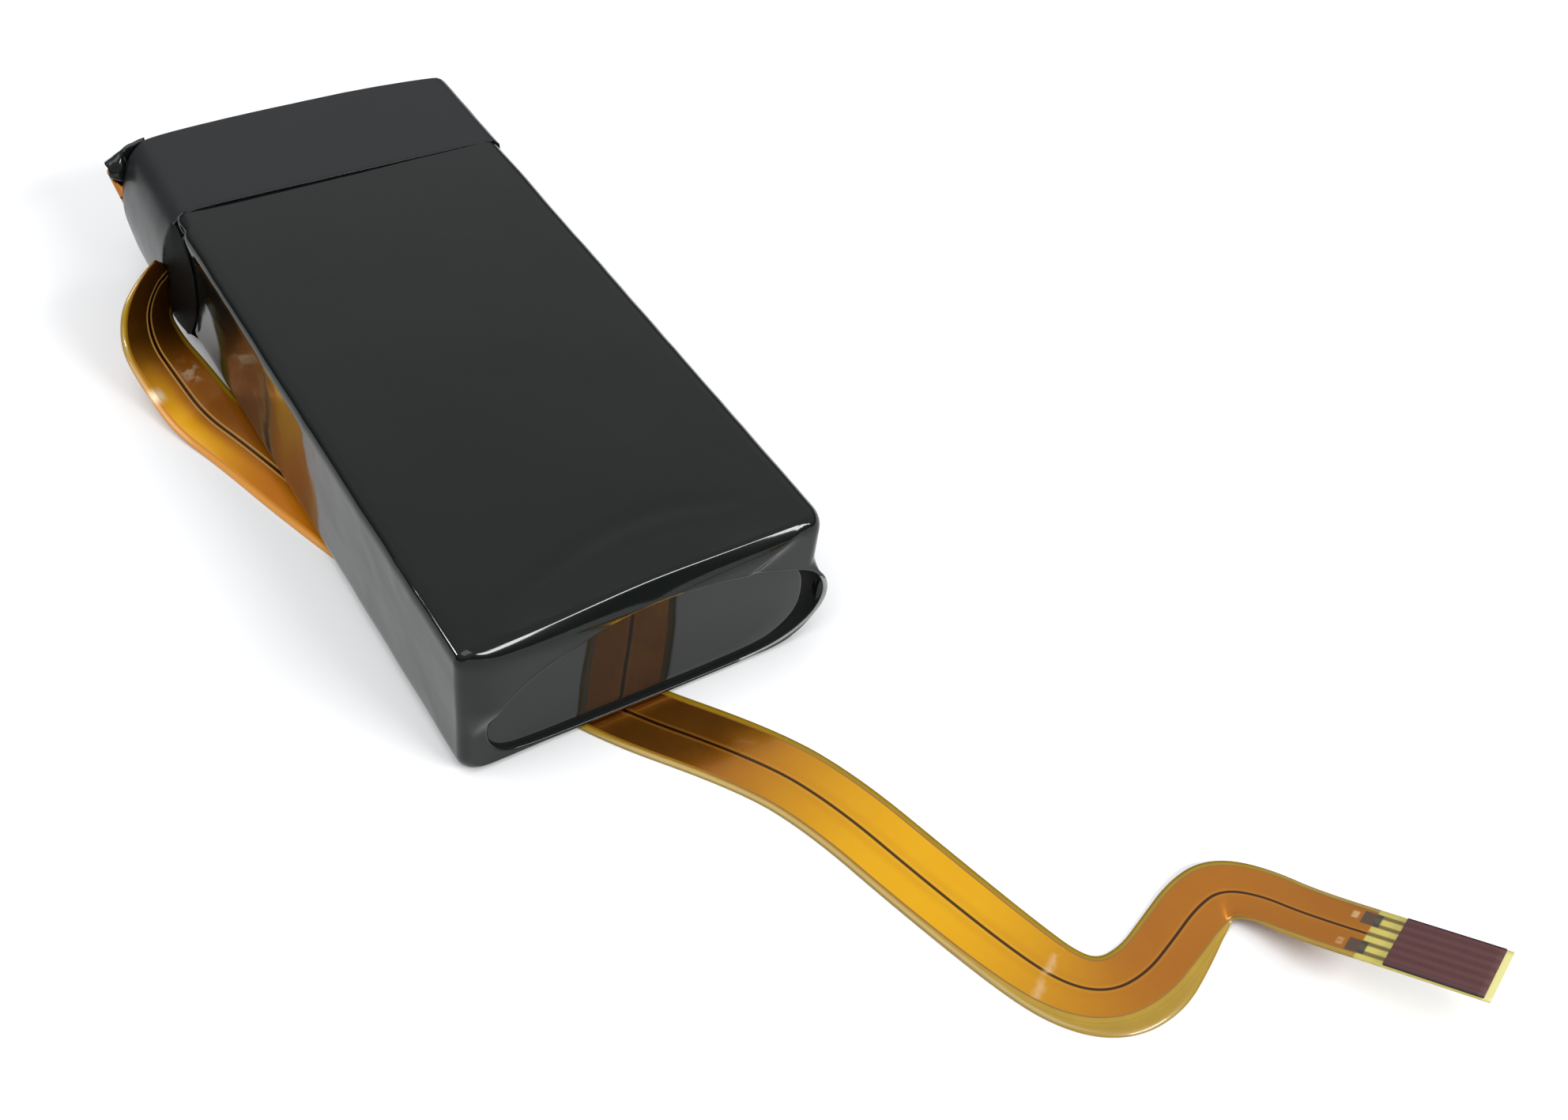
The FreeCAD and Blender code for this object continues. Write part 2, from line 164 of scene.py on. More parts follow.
class Shader:
    """A material's node tree and short ways to add to it. A colour is a socket or red, green and blue."""

    def __init__(self, name):
        self.material = bpy.data.materials.new(name)
        self.material.use_nodes = True
        self.tree = self.material.node_tree
        self.tree.nodes.clear()
        out = self.tree.nodes.new("ShaderNodeOutputMaterial")
        self.main = self.tree.nodes.new("ShaderNodeBsdfPrincipled")
        self.tree.links.new(self.main.outputs[0], out.inputs["Surface"])

    def put(self, socket, value):
        if hasattr(value, "is_linked"):
            self.tree.links.new(value, socket)
        else:
            socket.default_value = value

    def set(self, **values):
        for key, value in values.items():
            self.put(self.main.inputs[key.replace("_", " ")], value)

    def math(self, op, a, b=0.0):
        node = self.tree.nodes.new("ShaderNodeMath")
        node.operation = op
        for socket, value in zip(node.inputs, (a, b)):
            self.put(socket, value)
        return node.outputs[0]

    def both(self, a, b):
        """1 where both masks are."""
        return self.math("MULTIPLY", a, b)

    def either(self, a, b):
        """1 where at least one mask is."""
        return self.math("MAXIMUM", a, b)

    def opposite(self, a):
        """1 where the mask isn't."""
        return self.math("SUBTRACT", 1.0, a)

    def step(self, value, low, high):
        """0 below low, 1 above high, smooth between."""
        node = self.tree.nodes.new("ShaderNodeMapRange")
        node.interpolation_type = "SMOOTHSTEP"
        self.put(node.inputs["Value"], value)
        node.inputs["From Min"].default_value = low
        node.inputs["From Max"].default_value = high
        return node.outputs["Result"]

    def window(self, value, low, high, soft):
        """1 between low and high, 0 outside."""
        rise = self.step(value, low - soft, low + soft)
        fall = self.step(value, high - soft, high + soft)
        return self.both(rise, self.opposite(fall))

    def mix(self, share, a, b):
        """Colour between a and b."""
        node = self.tree.nodes.new("ShaderNodeMix")
        node.data_type = "RGBA"
        self.put(node.inputs[0], share)
        for place, value in ((6, a), (7, b)):
            self.put(node.inputs[place], (*value, 1) if isinstance(value, tuple) else value)
        return node.outputs[2]

    def cover(self, base, colour, mask, strength):
        """The base colour, with another over it at this strength where the mask is."""
        return self.mix(self.both(mask, strength), base, colour)

    def blend(self, share, a, b):
        """Plain number between a and b."""
        node = self.tree.nodes.new("ShaderNodeMix")
        self.put(node.inputs[0], share)
        self.put(node.inputs[2], a)
        self.put(node.inputs[3], b)
        return node.outputs[0]

    def noise(self, scale, detail=3.0, rough=0.5, stretch=(1, 1, 1)):
        """Noise on the object's own place, scale in cells per metre."""
        coords = self.tree.nodes.new("ShaderNodeTexCoord")
        mapping = self.tree.nodes.new("ShaderNodeMapping")
        mapping.inputs["Scale"].default_value = stretch
        texture = self.tree.nodes.new("ShaderNodeTexNoise")
        texture.inputs["Scale"].default_value = scale
        texture.inputs["Detail"].default_value = detail
        texture.inputs["Roughness"].default_value = rough
        self.tree.links.new(coords.outputs["Object"], mapping.inputs[0])
        self.tree.links.new(mapping.outputs[0], texture.inputs["Vector"])
        return texture.outputs[0]

    def bump(self, height, distance, strength, normal=None):
        """A normal for this height, over another one if it is given."""
        node = self.tree.nodes.new("ShaderNodeBump")
        node.inputs["Strength"].default_value = strength
        node.inputs["Distance"].default_value = distance
        self.put(node.inputs["Height"], height)
        if normal is not None:
            self.put(node.inputs["Normal"], normal)
        return node.outputs[0]

    def pattern(self):
        """Across and along, from the mesh's pattern map."""
        coords = self.tree.nodes.new("ShaderNodeUVMap")
        coords.uv_map = "pattern"
        split = self.tree.nodes.new("ShaderNodeSeparateXYZ")
        self.tree.links.new(coords.outputs[0], split.inputs[0])
        return split.outputs[0], split.outputs[1]


def film_black():
    s = Shader("black_film")
    tone = s.noise(60, 4.0, 0.6)
    smear = s.noise(140, 3.0, 0.55, (1.0, 0.35, 1.0))
    fine = s.noise(900, 2.0, 0.5)
    colour = s.mix(tone, (0.0025, 0.0034, 0.0030), (0.0055, 0.0070, 0.0064))
    rough = s.blend(smear, 0.06, 0.12)
    swell = s.bump(smear, 0.00012, 0.35)
    s.set(Base_Color=colour, Roughness=rough, IOR=1.335, Normal=s.bump(fine, 0.00001, 0.25, swell))
    return s.material


def plate_black():
    s = Shader("black_plate")
    tone = s.noise(200, 3.0, 0.5)
    s.set(Base_Color=s.mix(tone, (0.008, 0.009, 0.009), (0.013, 0.014, 0.014)),
          Roughness=s.blend(tone, 0.02, 0.07), IOR=1.31,
          Normal=s.bump(s.noise(70, 2.0, 0.5), 0.00006, 0.35))
    return s.material


def tape_black():
    s = Shader("black_tape")
    tone = s.noise(90, 4.0, 0.6)
    fine = s.noise(1500, 3.0, 0.6)
    s.set(Base_Color=s.mix(tone, (0.009, 0.010, 0.0105), (0.014, 0.015, 0.016)),
          Roughness=s.blend(tone, 0.2, 0.34), IOR=1.29,
          Normal=s.bump(fine, 0.00001, 0.4, s.bump(s.noise(120, 2.0), 0.00015, 0.35)))
    return s.material


def film_edge():
    s = Shader("film_edge_grey")
    tone = s.noise(500, 3.0, 0.6)
    s.set(Base_Color=s.mix(tone, (0.07, 0.075, 0.075), (0.30, 0.31, 0.30)), Roughness=0.35)
    return s.material


# The lead's marks, each from, to and softness. Across it they count in its inner width, from its line.
COPPER_AREA = (-0.84, 0.80, 0.012)
RIMS = (-0.88, -0.84, 0.012), (0.80, 0.85, 0.012)
TRACE = (-0.022, 0.055, 0.012)
GAPS = (-0.085, -0.035, 0.012), (0.068, 0.118, 0.012)
MIDDLE_SHADE = (-0.24, 0.27, 0.12)
BORDER = (0.985, 1.02, 0.012)
KINK_ACROSS = (0.62, 0.96, 0.10)
WRINKLE_ACROSS = (-0.66, -0.16, 0.10)

# Along it they are in metres from its end.
END_RIM = (-1.0, 0.0006, 0.00005)
END_FAN = (-1.0, 0.0101, 0.0001)
END_PADS = (0.0096, 0.0111, 0.00008)
END_SPOTS = (0.0114, 0.0119, 0.0001)
CREASE = (0.0408, 0.0413, 0.0004)
# painted reflection on the front run
PAINTED_REFLECTION_RUN = (0.041, 0.0655, 0.010)
SIDE_LOOP = (0.112, 0.1412, 0.005)
# painted highlight on the loop's outer half
PAINTED_LOOP_HIGHLIGHT = (0.130, 0.1412, 0.006)
KINK_ALONG = (0.1391, 0.1401, 0.0006)
WRINKLE_ALONG = (0.1398, 0.1418, 0.0008)

# Its colours: darker and lighter tone of each surface, then single ones.
COPPER = (0.46, 0.150, 0.013), (0.54, 0.195, 0.018)
# a lit copy of the copper for the side loop, painted light
LIT_LOOP_COPPER = (0.64, 0.180, 0.003), (0.76, 0.24, 0.005)
# colour of the painted reflection and painted highlight on the copper
PAINTED_LIGHT_COPPER = (0.98, 0.45, 0.004), (1.0, 0.55, 0.009)
BARE_FILM = (0.23, 0.134, 0.001), (0.33, 0.200, 0.003)
END_FILM = (0.38, 0.31, 0.045), (0.52, 0.45, 0.11)
# painted shade on the loop's inner half
SHADED_INNER_LOOP = (0.19, 0.055, 0.002)
# painted light on the bare film of the loop's outer half
LIT_OUTER_LOOP = (0.66, 0.235, 0.004)
MIDDLE_BROWN = (0.55, 0.20, 0.006)
GAP_TAN = (0.46, 0.27, 0.07)
RIM_BROWN = (0.15, 0.055, 0.002)
TRACE_BROWN = (0.035, 0.016, 0.004)
BORDER_OLIVE = (0.16, 0.12, 0.004)
OUTSIDE_AMBER = (0.22, 0.135, 0.004)
FAN_BROWN = (0.10, 0.065, 0.008)
END_YELLOW = (0.50, 0.47, 0.20)
PAD_BLACK = (0.018, 0.014, 0.011)
SPOT_ORANGE = (0.85, 0.50, 0.24)
# pale of the creases and the kink: partly whitened film, partly painted highlight
CREASE_PALE_AND_GLARE = (0.95, 0.66, 0.36)
KINK_PALE_AND_GLINT = (1.0, 0.78, 0.50)


def lead_film():
    """Amber film over copper: bare film at the edges, two copper areas, a thin middle trace.

    The pattern map is the distance across in inner widths, and the distance to the lead's end in metres."""
    s = Shader("flex_lead")
    across, to_end = s.pattern()
    side = s.math("ABSOLUTE", across)
    tone = s.noise(240, 4.0, 0.6)
    streak = s.noise(420, 3.0, 0.6)
    copper_mask = s.window(across, *COPPER_AREA)
    loop = s.window(to_end, *SIDE_LOOP)
    trace = s.window(across, *TRACE)
    gaps = s.either(*(s.window(across, *gap) for gap in GAPS))
    gaps = s.both(gaps, s.blend(s.step(to_end, 0.100, 0.115), 0.15, 1.0))

    # copper: a painted reflection brightens the front run and a painted highlight the loop's outer half; the
    # loop has a lit copy of the copper, and painted shade darkens its inner half
    copper = s.mix(tone, *COPPER)
    copper = s.cover(copper, s.mix(tone, *LIT_LOOP_COPPER), loop, 0.85)
    painted_glow = s.both(s.window(to_end, *PAINTED_LOOP_HIGHLIGHT), s.step(across, 0.05, 0.6))
    painted_light = s.either(s.window(to_end, *PAINTED_REFLECTION_RUN), s.both(painted_glow, 0.85))
    copper = s.mix(painted_light, copper, s.mix(tone, *PAINTED_LIGHT_COPPER))
    # painted shade on the loop's inner half
    copper = s.cover(copper, SHADED_INNER_LOOP, s.both(loop, s.opposite(s.step(across, -0.15, 0.45))), 0.8)

    # bare film beside it, then the marks over both
    # the loop's outer half gets painted light on its bare film, and its rims and border are weakened there
    lit_outer_half = s.both(loop, s.step(across, 0.0, 0.5))
    bare = s.cover(s.mix(streak, *BARE_FILM), LIT_OUTER_LOOP, lit_outer_half, 0.8)
    colour = s.mix(copper_mask, bare, copper)
    colour = s.cover(colour, MIDDLE_BROWN, s.window(across, *MIDDLE_SHADE), 0.18)
    colour = s.cover(colour, GAP_TAN, gaps, 0.75)
    rims = s.either(*(s.window(across, *rim) for rim in RIMS))
    colour = s.cover(colour, RIM_BROWN, rims, s.blend(lit_outer_half, 0.75, 0.15))
    colour = s.cover(colour, TRACE_BROWN, trace, 0.95)
    colour = s.cover(colour, BORDER_OLIVE, s.window(side, *BORDER), s.blend(lit_outer_half, 0.45, 0.15))
    colour = s.cover(colour, OUTSIDE_AMBER, s.step(side, 1.02, 1.1), 0.5)

    colour, fan, pads = lead_end(s, colour, across, to_end, streak)

    film = s.either(s.either(s.opposite(copper_mask), fan), pads)
    film = s.either(film, s.both(gaps, 0.8))
    metal = s.both(s.opposite(film), s.blend(loop, 0.95, 0.45))
    rough = s.blend(film, s.blend(streak, 0.17, 0.27), 0.38)

    # creases in the film: their pale colour is partly whitened film and partly painted highlight
    crease = s.both(s.window(to_end, *CREASE), s.step(s.noise(700, 2.0), 0.42, 0.60))
    colour = s.cover(colour, CREASE_PALE_AND_GLARE, crease, s.both(copper_mask, 0.6))
    kink = s.both(s.window(to_end, *KINK_ALONG), s.window(across, *KINK_ACROSS))
    wrinkle = s.both(s.window(to_end, *WRINKLE_ALONG), s.window(across, *WRINKLE_ACROSS))
    wrinkle = s.both(wrinkle, s.step(s.noise(900, 2.0, 0.6, (1.0, 1.0, 3.0)), 0.46, 0.60))
    colour = s.mix(s.either(kink, s.both(wrinkle, 0.5)), colour, KINK_PALE_AND_GLINT)

    etched = s.bump(s.math("SUBTRACT", copper_mask, s.either(gaps, trace)), 0.00002, 0.4)
    s.set(Base_Color=colour, Metallic=metal, Roughness=rough, IOR=1.5,
          Normal=s.bump(s.noise(110, 2.0, 0.5), 0.00006, 0.25, etched))
    s.set(Coat_Weight=0.4, Coat_Roughness=0.06, Coat_IOR=1.5)
    return s.material


def lead_end(s, colour, across, to_end, streak):
    """Colour with the lead's end on it, and the masks of its parts: five traces with bare film between
    them, and two pads behind them."""
    side = s.math("ABSOLUTE", across)
    fan = s.window(to_end, *END_FAN)
    rim = s.window(to_end, *END_RIM)
    wave = s.math("FRACT", s.math("ADD", s.both(across, 2.7), 0.5))
    lines = s.both(s.window(wave, 0.30, 0.70, 0.09), s.opposite(s.step(side, 0.84, 0.87)))
    lines = s.both(lines, s.math("SUBTRACT", 0.95, rim))
    ends = s.mix(lines, s.mix(streak, *END_FILM), FAN_BROWN)
    ends = s.cover(ends, END_YELLOW, rim, 0.8)
    colour = s.mix(fan, colour, ends)
    off = s.math("ABSOLUTE", s.math("SUBTRACT", side, 0.56))
    pads = s.both(s.opposite(s.step(off, 0.235, 0.26)), s.window(to_end, *END_PADS))
    colour = s.cover(colour, PAD_BLACK, pads, 0.92)
    spots = s.both(s.opposite(s.step(off, 0.10, 0.16)), s.window(to_end, *END_SPOTS))
    colour = s.cover(colour, SPOT_ORANGE, spots, s.step(streak, 0.35, 0.55))
    return colour, fan, pads


def stiffener_film():
    """Dark film, faintly striped over the traces under it."""
    s = Shader("stiffener_film")
    across, _ = s.pattern()
    stripes = s.math("SINE", s.both(across, 19.0))
    tone = s.noise(900, 4.0, 0.65)
    edge = s.step(s.math("ABSOLUTE", across), 0.93, 0.96)
    colour = s.mix(s.step(stripes, -0.6, 0.9), (0.056, 0.018, 0.019), (0.082, 0.030, 0.032))
    colour = s.cover(colour, (0.095, 0.036, 0.032), tone, 0.55)
    colour = s.mix(edge, colour, (0.035, 0.014, 0.020))
    s.set(Base_Color=colour, Roughness=s.blend(tone, 0.4, 0.6), IOR=1.4,
          Normal=s.bump(stripes, 0.000012, 0.35))
    return s.material


def plain(name, low, high, rough=(0.35, 0.55), **more):
    """A worn two-tone surface for a piece that is mostly out of sight."""
    s = Shader(name)
    tone = s.noise(300, 4.0, 0.6)
    s.set(Base_Color=s.mix(tone, low, high), Roughness=s.blend(tone, *rough),
          Normal=s.bump(s.noise(1200, 2.0), 0.00001, 0.3), **more)
    return s.material


FILM = film_black()
INNER = plain("film_inside", (0.0025, 0.003, 0.003), (0.006, 0.0065, 0.0065), (0.55, 0.75), IOR=1.2)
PLATE = plate_black()
TAPE = tape_black()
EDGE = film_edge()
FLEX = lead_film()
STIFF = stiffener_film()

# ---------------------------------------------------------------- the flexible lead

HALF = 3.65  # half the lead's full width

# The lead's line: place, tilt of its flat side from level in degrees, and its width to each side. The
# line is a quadratic spline with these as its control points. Most places are the CAD route's own. Those
# next to the exit and on the first bend in front of the pack are moved a little.
LEAD = [
    (-18.3, 24.4, 9.0, 100, 2.5, HALF),
    (-21.0, 22.6, 7.7, 95, HALF, HALF),
    (-21.9, 20.4, 4.4, 18, HALF, HALF),
    (-21.0, 16.2, 2.5, 8, HALF, HALF),
    (-20.0, 12.4, 0.5, 1, HALF, HALF),
    (-17.95, 7.2, 0.1, 0, HALF, HALF),
    (-15.2, -2.6, 0.1, 0, HALF, HALF),
    (-11.0, -15.2, 0.1, 0, HALF, HALF),
    (-6.7, -27.2, 0.1, 0, HALF, HALF),
    (-3.2, -36.4, 0.1, 0, HALF, HALF),
    (5.6, -47.8, 0.1, 0, HALF, HALF),
    (8.6, -54.7, 0.1, 0, HALF, HALF),
    (10.9, -64.4, 0.1, 0, HALF, HALF),
    (13.3, -73.2, 0.1, 0, HALF, 3.45),
    (15.1, -77.3, 0.1, 0, 3.8, 3.1),
    (17.7, -79.3, 0.1, 0, 4.1, 2.8),
    (21.2, -79.4, 0.1, 0, 4.0, 2.8),
    (25.0, -78.2, 0.1, 0, 3.5, 2.9),
    (28.7, -76.9, 0.2, 0, 3.0, 2.95),
    (31.5, -76.7, 0.5, 0, 2.6, 2.95),
    (33.3, -79.0, 1.5, 0, 2.5, 2.9),
    (34.4, -82.6, 2.8, 0, 2.8, 2.8),
    (36.8, -89.1, 5.8, 0, 2.7, 2.7),
    (39.3, -95.6, 8.6, 0, 2.7, 2.7),
]
LEAD_THICK = 0.15
SPLINE_STEPS = 14  # points of the line between two knots
TWIST_ROUNDS = 120

# One place on the lead: its middle, the direction across, the flat side's normal, the width to each side
# and the distance left to the end.
Station = namedtuple("Station", "place side normal outer inner left")


def spline_points(name, route):
    """Points along the route's spline, in metres, read from a curve with no bevel."""
    data = bpy.data.curves.new(name, "CURVE")
    data.dimensions = "3D"
    data.resolution_u = SPLINE_STEPS
    spline = data.splines.new("NURBS")
    spline.points.add(len(route) - 1)
    for point, r in zip(spline.points, route):
        point.co = (r[0] * MM, r[1] * MM, r[2] * MM, 1.0)
    spline.order_u = 3
    spline.use_endpoint_u = True
    obj = bpy.data.objects.new(name, data)
    bpy.context.scene.collection.objects.link(obj)
    bpy.context.view_layer.update()
    line = bpy.data.meshes.new_from_object(obj)
    points = [v.co.copy() for v in line.vertices]
    bpy.data.objects.remove(obj)
    return points


def spline_value(values, share):
    """The value of a quadratic spline with these control values, share of the way along its knots."""
    spans = len(values) - 2
    t = min(share * spans, spans - 1e-9)
    k = int(t)
    knots = [0, 0] + list(range(spans + 1)) + [spans, spans]
    a, b, c = values[k], values[k + 1], values[k + 2]
    k0, k1, k2, k3 = knots[k + 1], knots[k + 2], knots[k + 3], knots[k + 4]
    p = a + (b - a) * ((t - k0) / (k2 - k0))
    q = b + (c - b) * ((t - k1) / (k3 - k1))
    return p + (q - p) * ((t - k1) / (k2 - k1))


def stations_along(points, route):
    """A station for each point of the line."""
    last = len(points) - 1
    _, _, _, tilts, outers, inners = zip(*route)
    heads = [(points[min(i + 1, last)] - points[max(i - 1, 0)]).normalized() for i in range(last + 1)]
    sides = []
    for i, head in enumerate(heads):
        tilt = math.radians(spline_value(tilts, i / last))
        level = Vector((head.y, -head.x, 0)).normalized()
        up = level.cross(head)
        up = up if up.z > 0 else -up
        sides.append(level * math.cos(tilt) + up * math.sin(tilt))
    for _ in range(TWIST_ROUNDS):
        # the film can't turn sharply in its own plane, so its cross direction changes slowly
        sides = [(sides[max(i - 1, 0)] + side * 2 + sides[min(i + 1, last)]).normalized()
                 for i, side in enumerate(sides)]
    runs = [0.0]
    for a, b in zip(points, points[1:]):
        runs.append(runs[-1] + (b - a).length / MM)
    return [Station(point / MM, side, side.cross(head).normalized(), spline_value(outers, i / last),
                    spline_value(inners, i / last), runs[-1] - runs[i])
            for i, (point, head, side) in enumerate(zip(points, heads, sides))]


def ribbon(name, stations, thick, material, bend=None, steps=12):
    """A thin flat strip along the stations, its points moved by bend."""
    rings, uv = [], []
    for place, side, normal, outer, inner, left in stations:
        ring = []
        for face in (1, -1):
            for k in range(steps + 1):
                t = k / steps if face > 0 else 1 - k / steps
                a = -inner + (outer + inner) * t
                spot = tuple(place + side * a + normal * (face * thick / 2))
                ring.append(bend(*spot) if bend else spot)
                uv.append((a / inner, left * MM))
        rings.append(ring)
    points, faces = loft(rings, True, True)
    return mesh(name, points, faces, material, uv)


lead_path = spline_points("lead_line", LEAD)
stations = stations_along(lead_path, LEAD)


def under_band(x, y, z):
    """Keep a point of the lead inside the band, behind the band's front edge."""
    hold = ease((y - BAND_FRONT + 0.6) / 0.7)
    # the band's left side, which leans in towards the top
    limit = -18.25 + 0.30 * max(z - 10.6, 0.0) + 0.09 * max(z - 12.0, 0.0) ** 2
    return x + (max(x, limit) - x) * hold, y, z


lead = ribbon("flexible_lead", stations, LEAD_THICK, FLEX, under_band)
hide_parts("lead_side_loop", "lead_under_run", "lead_front_run", "lead_tail")

# ---------------------------------------------------------------- the lead's end


def plate_on_tail(name, material, near, length, half, thick):
    """A plate that lies on the lead, from this near to its end."""
    far = near + length
    kept = []
    for a, b in zip(stations, stations[1:]):
        for mark in (far, near):
            if a.left >= mark > b.left:
                t = (a.left - mark) / (a.left - b.left)
                kept.append(a._replace(place=a.place.lerp(b.place, t), left=mark))
        if far > b.left > near:
            kept.append(b)
    lift = (LEAD_THICK + thick) / 2
    strip = [a._replace(place=a.place + a.normal * lift, outer=half, inner=half) for a in kept]
    return ribbon(name, strip, thick, material)


stiffener = plate_on_tail("stiffener_plate", STIFF, near=0.5, length=7.4, half=2.6, thick=0.2)
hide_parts("tail_stiffener")

# ---------------------------------------------------------------- the lead's held end

# The same six values as in LEAD, from inside the band's rear to the lead's exit.
HELD = [
    (-14.4, 35.86, 8.6, 90, HALF, HALF),
    (-16.5, 38.2, 8.6, 90, HALF, HALF),
    (-18.8, 38.45, 8.6, 90, HALF, HALF),
    (-17.45, 37.85, 8.6, 90, 0.8, HALF),
    (-17.45, 31.5, 8.6, 90, 3.3, HALF),
    (-17.55, 26.2, 8.8, 84, HALF, HALF),
    (-17.85, 24.7, 9.1, 92, HALF, HALF),
    (-18.3, 24.4, 9.0, 100, 2.5, HALF),
]


def folded(x, y, z):
    """The fold at the corner slants out at its top, and the rest stays inside the band."""
    slant = ease((y - 37.2) / 0.8) * ease((-15.6 - x) / 1.6)
    x -= 0.24 * (z - 9.0) * slant
    return under_band(x, y, z) if y < REAR - 0.5 else (x, y, z)


held = ribbon("held_lead", stations_along(spline_points("held_line", HELD), HELD), LEAD_THICK, FLEX, folded)
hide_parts("lead_held_run")

# ---------------------------------------------------------------- shrink sleeve

# The sleeve is drawn as rings of x and z from its rear end, under the band, to its mouth.
SLEEVE_TOP = 15.0
SLEEVE_SIDE = 17.0
SLEEVE_START = BAND_FRONT + 0.2  # where the long part's rows begin
WIDE_ROWS, WIDE_STEP = 90, 0.6
CLOSE_ROWS, CLOSE_STEP = 14, 0.35
SHOULDER_ROWS = 14
FACE_ROWS = 12
MOUTH_X, MOUTH_Z = 0.2, 6.7
MOUTH_FLATNESS = 2.2
CORNER_STEPS = 12

MOUTH_LINE = [
    (0.0, 13.1), (5.0, 12.75), (9.5, 11.8), (13.2, 10.4), (15.6, 9.6), (17.2, 8.5), (18.1, 6.6), (18.2, 4.6),
    (17.3, 2.9), (15.2, 1.4), (12.5, 0.7), (9.0, 0.5), (4.0, 0.5), (0.0, 0.55), (-6.0, 0.65), (-11.0, 0.85),
    (-13.8, 1.5), (-14.9, 3.4), (-14.8, 6.2), (-13.3, 8.8), (-9.5, 11.2), (-5.0, 12.6),
]
WRINKLES = [
    # a shallow groove in the top: points along it, depth and half width
    ([(-12.8, -35.6), (-10.4, -34.3), (-5.4, -32.4), (-0.5, -31.0), (5.0, -30.9), (11.5, -33.0)],
     0.15, 1.15),
    ([(-9.0, -36.2), (-4.5, -34.4), (0.5, -33.4), (6.5, -33.6), (12.0, -35.0)], 0.05, 0.7),
    ([(-12.0, -32.4), (-8.0, -30.2), (-3.0, -28.8), (2.5, -28.2)], 0.05, 1.4),
    ([(3.0, -35.3), (8.0, -34.9), (12.6, -34.6), (15.0, -35.2)], 0.06, 0.6),
]
GROOVES = [(through(line, 5), deep, wide) for line, deep, wide in WRINKLES]


def rounded_ring(side, low, high, r_top, r_low):
    """A rounded rectangle in x and z, from the middle of the top, towards +x, at even spacing."""
    corners = ((side - r_top, high - r_top, r_top, 90), (side - r_low, low + r_low, r_low, 0),
               (r_low - side, low + r_low, r_low, -90), (r_top - side, high - r_top, r_top, 180))
    points = [(0.0, high)]
    for x, z, r, start in corners:
        for k in range(CORNER_STEPS + 1):
            a = math.radians(start - 90 * k / CORNER_STEPS)
            points.append((x + r * math.cos(a), z + r * math.sin(a)))
    return even(points, RING)


def mouth_angle(x, z):
    """The direction of a place from the mouth's middle, as if the mouth were round."""
    return math.atan2((z - MOUTH_Z) * MOUTH_FLATNESS, x - MOUTH_X)


def matched(line, ring):
    """The closed line's point for each ring point, at the same angle round the middle."""
    dense = through(line, 24, True)
    angles = [mouth_angle(x, z) for x, z in dense]
    out = []
    for x, z in ring:
        a = mouth_angle(x, z)
        best = min(range(len(dense)), key=lambda i: abs(math.remainder(angles[i] - a, 2 * math.pi)))
        out.append(dense[best])
    return out


def smoothed(points, times):
    """A closed line with its points evened out."""
    n = len(points)
    for _ in range(times):
        near = [(points[k - 1], points[k], points[(k + 1) % n]) for k in range(n)]
        points = [tuple((a + 2 * b + c) / 4 for a, b, c in zip(*three)) for three in near]
    return points


def from_line(x, y, line):
    """How far a point is from a line of short runs, and how far along it the nearest place is."""
    best = (1e9, 0.0)
    for k, ((ax, ay), (bx, by)) in enumerate(zip(line, line[1:])):
        t = clamp01(((x - ax) * (bx - ax) + (y - ay) * (by - ay)) / ((bx - ax) ** 2 + (by - ay) ** 2))
        away = math.hypot(x - ax - t * (bx - ax), y - ay - t * (by - ay))
        best = min(best, (away, (k + t) / (len(line) - 1)))
    return best


def top_dip(x, y):
    """How far the film on top is pulled down at this place."""
    dip = 0.0
    for line, deep, wide in GROOVES:
        away, share = from_line(x, y, line)
        fade = math.sin(math.pi * clamp01(share * 0.96 + 0.02)) ** 0.6
        dip += deep * math.exp(-(away / wide) ** 2) * fade
    return dip


def body_ring(full, y):
    """The sleeve's long part at this y: swells, the grooves on top, and the left side's pinch."""
    ring = []
    for x, z in full:
        swell = 0.07 * wobble(x, y, z, 9.0) + 0.025 * wobble(x, y, z, 3.0, 5.0)
        if z > SLEEVE_TOP - 1.0:
            z += 0.5 * swell - top_dip(x, y) * ease((z - SLEEVE_TOP + 1.0) / 0.9)
        if abs(x) > SLEEVE_SIDE - 1.0:
            high = ease((z - 9) / 5)
            push = swell + 0.06 * wobble(0, y, z * 0.3, 5.0, 9.0) * high
            pinch = 0.28 * ease((y - 21.2) / 1.2) * high if x < 0 else 0.0
            # copysign drops the difference's own sign, so the side only ever moves in
            x -= math.copysign(pinch - push, x)
        ring.append((x, y, z))
    return ring


def overhang(x, z):
    """How much the film leans out over the plate at this place on the front edge."""
    return ease((z - 9.5 + 5.0 * ease((-5 - x) / 7)) / 4.0) * (1 - ease((x - 14.4) / 2.6))


def leftward(x):
    """0 right of the middle, 1 near the left side, smooth between."""
    return ease((3 - x) / 17)


